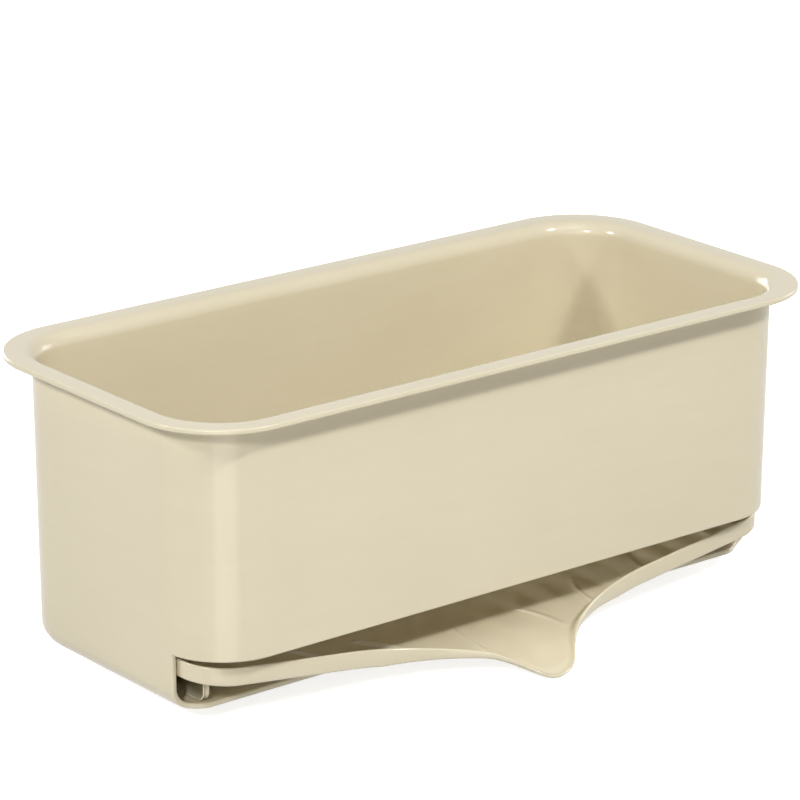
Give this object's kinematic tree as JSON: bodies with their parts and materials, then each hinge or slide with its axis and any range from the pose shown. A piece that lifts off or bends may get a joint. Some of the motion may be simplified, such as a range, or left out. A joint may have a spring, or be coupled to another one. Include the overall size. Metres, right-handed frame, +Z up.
{
  "type": "draining rack",
  "caption": "Long rimmed sink rack with a slotted floor that lifts out and a drip tray that slides out at the front and pours over a spout.",
  "frame": {"origin": "on the surface the rack stands on, under the middle of its whole outline, spout included", "axes": "+X along the rack, +Y to its back, so the spout points to -Y, +Z up"},
  "size_m": [0.3398, 0.1802, 0.1348],
  "materials": {
    "tub_plastic": "gloss, cream",
    "plate_plastic": "gloss, cream",
    "tray_plastic": "gloss, cream",
    "foot_rubber": "matt, grey beige"
  },
  "bodies": {
    "tub": {"tub": "tub_plastic", "foot_front_left": "foot_rubber", "foot_front_right": "foot_rubber", "foot_back_left": "foot_rubber", "foot_back_right": "foot_rubber"},
    "tray": {"drip_tray": "tray_plastic"},
    "plate": {"drain_plate": "plate_plastic"}
  },
  "joints": [
    {"name": "tray_slide", "type": "slide", "parent": "tub", "child": "tray", "axis": [0, -1, 0], "range_m": [0, 0.11]},
    {"name": "plate_lift", "type": "slide", "parent": "tub", "child": "plate", "axis": [0, 0, 1], "range_m": [0, 0.11]}
  ]
}
